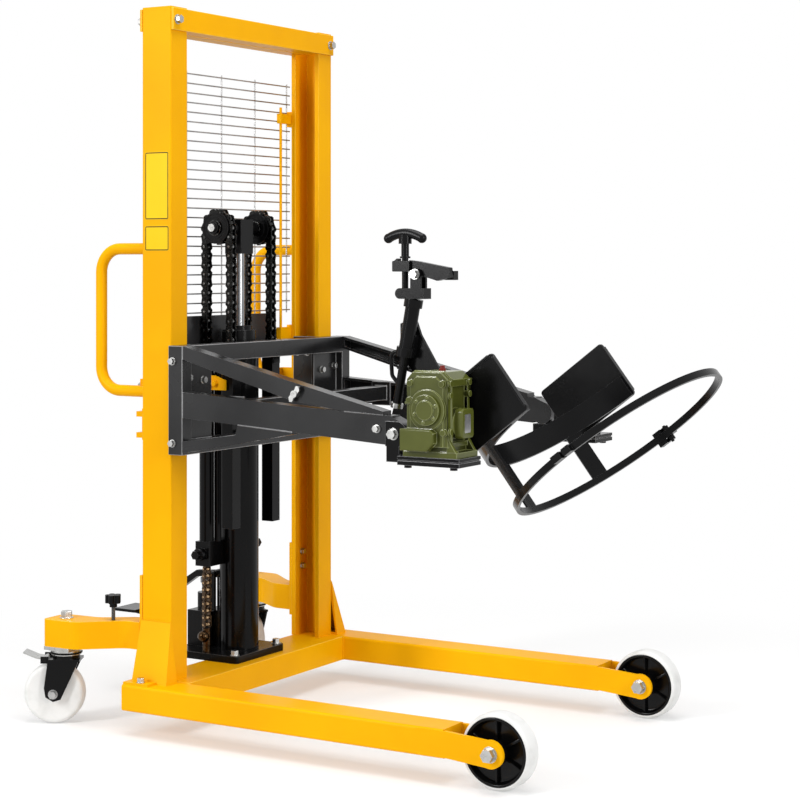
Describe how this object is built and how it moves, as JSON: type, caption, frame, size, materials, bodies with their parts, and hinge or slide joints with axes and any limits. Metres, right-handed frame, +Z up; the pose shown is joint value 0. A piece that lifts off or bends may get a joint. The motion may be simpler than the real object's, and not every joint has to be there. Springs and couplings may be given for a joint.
{
  "type": "drum stacker",
  "caption": "Manual hydraulic stacker with straddle legs and a chain-lifted carriage whose arms hold a worm-gear tilting hoop and rim clamp for lifting and pouring drums.",
  "frame": {"origin": "middle of the footprint on the floor, under the centre of the bounding box", "axes": "+X forward along the legs, away from the push handles; +Y to the far side of the picture; +Z up; wheels stand on Z = 0"},
  "size_m": [1.7926, 1.0026, 1.88],
  "materials": {
    "yellow_paint": "gloss",
    "charcoal_paint": "satin",
    "black_paint": "gloss",
    "gearbox_green": "gloss",
    "white_nylon": "satin",
    "black_nylon": "matte",
    "zinc_steel": "satin",
    "chrome_rod": "polished",
    "chain_steel": "oiled",
    "anchor_steel": "oiled",
    "red_plug": "gloss"
  },
  "bodies": {
    "chassis": {"base_cross_beam": "yellow_paint", "leg_near": "yellow_paint", "leg_far": "yellow_paint", "post_near": "yellow_paint", "post_far": "yellow_paint", "post_feet": "yellow_paint", "top_beam": "yellow_paint", "push_handles": "yellow_paint", "mast_brackets": "yellow_paint", "rear_arm_near": "yellow_paint", "rear_arm_far": "yellow_paint", "wire_guard": "zinc_steel", "guard_panel": "black_paint", "caster_tops": "zinc_steel", "base_flange": "black_paint", "lift_cylinder": "black_paint", "cylinder_gland": "black_paint", "rear_sleeves": "black_paint", "anchor_chains": "anchor_steel", "pump_body": "black_paint", "frame_bolts": "zinc_steel"},
    "load_wheel_near": {"load_hub_near": "black_nylon", "load_tread_near": "white_nylon"},
    "load_wheel_far": {"load_hub_far": "black_nylon", "load_tread_far": "white_nylon"},
    "swivel_near": {"caster_fork_near": "black_paint"},
    "swivel_far": {"caster_fork_far": "black_paint"},
    "caster_near": {"caster_wheel_near": "white_nylon"},
    "caster_far": {"caster_wheel_far": "white_nylon"},
    "brake_near": {"caster_brake_near": "zinc_steel"},
    "brake_far": {"caster_brake_far": "zinc_steel"},
    "knob": {"arm_knob": "black_nylon"},
    "pedal": {"pump_pedal": "black_paint"},
    "plunger": {"pump_plunger": "chrome_rod"},
    "piston": {"piston_rod": "chrome_rod", "lift_yoke": "black_paint", "chain_near": "chain_steel", "chain_far": "chain_steel"},
    "chain_wheel_near": {"chain_wheel_near": "chain_steel"},
    "chain_wheel_far": {"chain_wheel_far": "chain_steel"},
    "carriage": {"carriage_frame": "charcoal_paint", "guide_shoes": "black_nylon", "arm_near": "charcoal_paint", "arm_far": "charcoal_paint", "front_sleeves": "black_paint", "carriage_bolts": "zinc_steel", "head_platforms": "charcoal_paint", "gearbox_housing": "gearbox_green", "gearbox_covers": "gearbox_green", "filler_plug": "red_plug", "far_bearing": "black_paint"},
    "wing_screw": {"wing_screw": "zinc_steel"},
    "cradle": {"tilt_shafts": "black_paint", "wing_near": "black_paint", "wing_far": "black_paint", "cradle_yoke": "black_paint", "clamp_column": "black_paint"},
    "gate": {"hoop_gate": "black_paint"},
    "lever": {"clamp_lever": "black_paint"},
    "t_screw": {"clamp_screw": "black_paint"}
  },
  "joints": [
    {"name": "lift", "type": "slide", "parent": "chassis", "child": "carriage", "axis": [0, 0, 1], "range_m": [-0.32, 0.6], "deforming": ["chain_near", "chain_far"]},
    {"name": "piston_slide", "type": "slide", "parent": "chassis", "child": "piston", "axis": [0, 0, 1], "range_m": [-0.16, 0.3]},
    {"name": "chain_wheel_near_spin", "type": "hinge", "parent": "piston", "child": "chain_wheel_near", "pos_m": [-0.4943, -0.094, 1.31], "axis": [0, 1, 0], "range_deg": [-420, 225]},
    {"name": "chain_wheel_far_spin", "type": "hinge", "parent": "piston", "child": "chain_wheel_far", "pos_m": [-0.4943, 0.094, 1.31], "axis": [0, 1, 0], "range_deg": [-420, 225]},
    {"name": "tilt", "type": "hinge", "parent": "carriage", "child": "cradle", "pos_m": [0.3567, 0, 0.869], "axis": [0, 1, 0], "range_deg": [-40, 130]},
    {"name": "gate_hinge", "type": "hinge", "parent": "cradle", "child": "gate", "pos_m": [0.65119, 0.312, 0.77103], "axis": [-0.6088, 0, 0.7934], "range_deg": [0, 110]},
    {"name": "lever_pivot", "type": "hinge", "parent": "cradle", "child": "lever", "pos_m": [0.2727, -0.326, 1.188], "axis": [0, 1, 0], "range_deg": [-8, 0]},
    {"name": "t_screw_turn", "type": "hinge", "parent": "cradle", "child": "t_screw", "pos_m": [0.2347, -0.326, 1.25], "axis": [0, 0, 1], "continuous": true},
    {"name": "wing_screw_turn", "type": "hinge", "parent": "carriage", "child": "wing_screw", "pos_m": [-0.0323, -0.405, 0.892], "axis": [0, 1, 0], "continuous": true},
    {"name": "knob_turn", "type": "hinge", "parent": "chassis", "child": "knob", "pos_m": [-0.6213, -0.388, 0.3], "axis": [0, 0, 1], "continuous": true},
    {"name": "pedal_pivot", "type": "hinge", "parent": "chassis", "child": "pedal", "pos_m": [-0.5713, 0, 0.35], "axis": [0, 1, 0], "range_deg": [-18, 0], "stiffness_Nm_per_rad": 20, "springref_deg": 22.92},
    {"name": "plunger_slide", "type": "slide", "parent": "chassis", "child": "plunger", "axis": [0, 0, 1], "range_m": [-0.016, 0]},
    {"name": "load_wheel_near_roll", "type": "hinge", "parent": "chassis", "child": "load_wheel_near", "pos_m": [0.5447, -0.418, 0.09], "axis": [0, 1, 0], "continuous": true},
    {"name": "swivel_near_turn", "type": "hinge", "parent": "chassis", "child": "swivel_near", "pos_m": [-0.7493, -0.425, 0.18], "axis": [0, 0, 1], "continuous": true},
    {"name": "caster_near_roll", "type": "hinge", "parent": "swivel_near", "child": "caster_near", "pos_m": [-0.77528, -0.44, 0.08], "axis": [-0.5, 0.866, 0], "continuous": true},
    {"name": "brake_near_press", "type": "hinge", "parent": "swivel_near", "child": "brake_near", "pos_m": [-0.79607, -0.452, 0.17], "axis": [-0.5, 0.866, 0], "range_deg": [-14, 0]},
    {"name": "load_wheel_far_roll", "type": "hinge", "parent": "chassis", "child": "load_wheel_far", "pos_m": [0.5447, 0.418, 0.09], "axis": [0, 1, 0], "continuous": true},
    {"name": "swivel_far_turn", "type": "hinge", "parent": "chassis", "child": "swivel_far", "pos_m": [-0.7493, 0.425, 0.18], "axis": [0, 0, 1], "continuous": true},
    {"name": "caster_far_roll", "type": "hinge", "parent": "swivel_far", "child": "caster_far", "pos_m": [-0.77528, 0.44, 0.08], "axis": [0.5, 0.866, 0], "continuous": true},
    {"name": "brake_far_press", "type": "hinge", "parent": "swivel_far", "child": "brake_far", "pos_m": [-0.79607, 0.452, 0.17], "axis": [0.5, 0.866, 0], "range_deg": [-14, 0]}
  ],
  "couplings": [
    {"joint": "piston_slide", "follows": "lift", "ratio": 0.5},
    {"joint": "chain_wheel_near_spin", "follows": "lift", "rad_per_m": -12.166},
    {"joint": "chain_wheel_far_spin", "follows": "lift", "rad_per_m": -12.166},
    {"joint": "plunger_slide", "follows": "pedal_pivot", "m_per_rad": 0.05}
  ]
}
